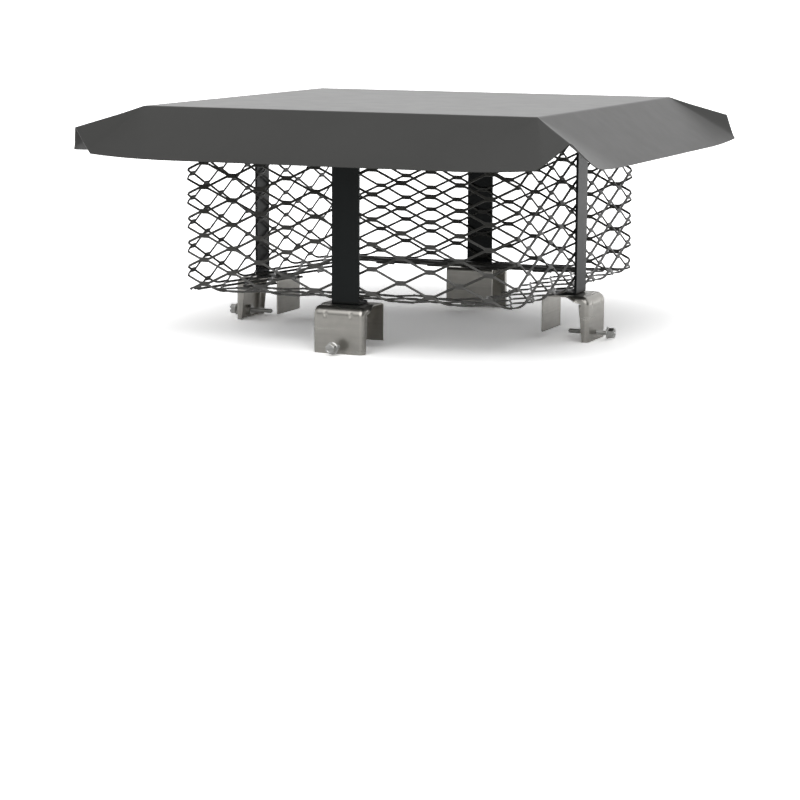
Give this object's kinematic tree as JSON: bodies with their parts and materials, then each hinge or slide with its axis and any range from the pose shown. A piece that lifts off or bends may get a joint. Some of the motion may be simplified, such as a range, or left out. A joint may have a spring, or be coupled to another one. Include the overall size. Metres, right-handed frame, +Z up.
{
  "type": "chimney cap",
  "caption": "Chimney cap: folded sheet hood on flat legs, expanded metal screen, and clamps with set screws for a square flue tile.",
  "frame": {"origin": "centre of the bounding box's bottom, level with the clamps' lower edges", "axes": "+Z up, +X and +Y square to two of the screen's walls; -Y is the front"},
  "size_m": [0.5532, 0.5532, 0.237],
  "materials": {
    "painted_hood": "satin",
    "black_mesh": "satin",
    "black_bar": "satin",
    "stainless_strip": "brushed",
    "zinc_screw": "satin",
    "rivet_metal": "satin"
  },
  "bodies": {
    "root": {"hood": "painted_hood", "mesh_screen": "black_mesh", "leg_right": "black_bar", "clamp_bracket_right": "stainless_strip", "set_screw_right": "zinc_screw", "weld_nut_right": "zinc_screw", "rivet_right": "rivet_metal", "leg_back": "black_bar", "clamp_bracket_back": "stainless_strip", "set_screw_back": "zinc_screw", "weld_nut_back": "zinc_screw", "rivet_back": "rivet_metal", "leg_left": "black_bar", "clamp_bracket_left": "stainless_strip", "set_screw_left": "zinc_screw", "weld_nut_left": "zinc_screw", "rivet_left": "rivet_metal", "leg_front": "black_bar", "clamp_bracket_front": "stainless_strip", "set_screw_front": "zinc_screw", "weld_nut_front": "zinc_screw", "rivet_front": "rivet_metal"}
  },
  "joints": []
}
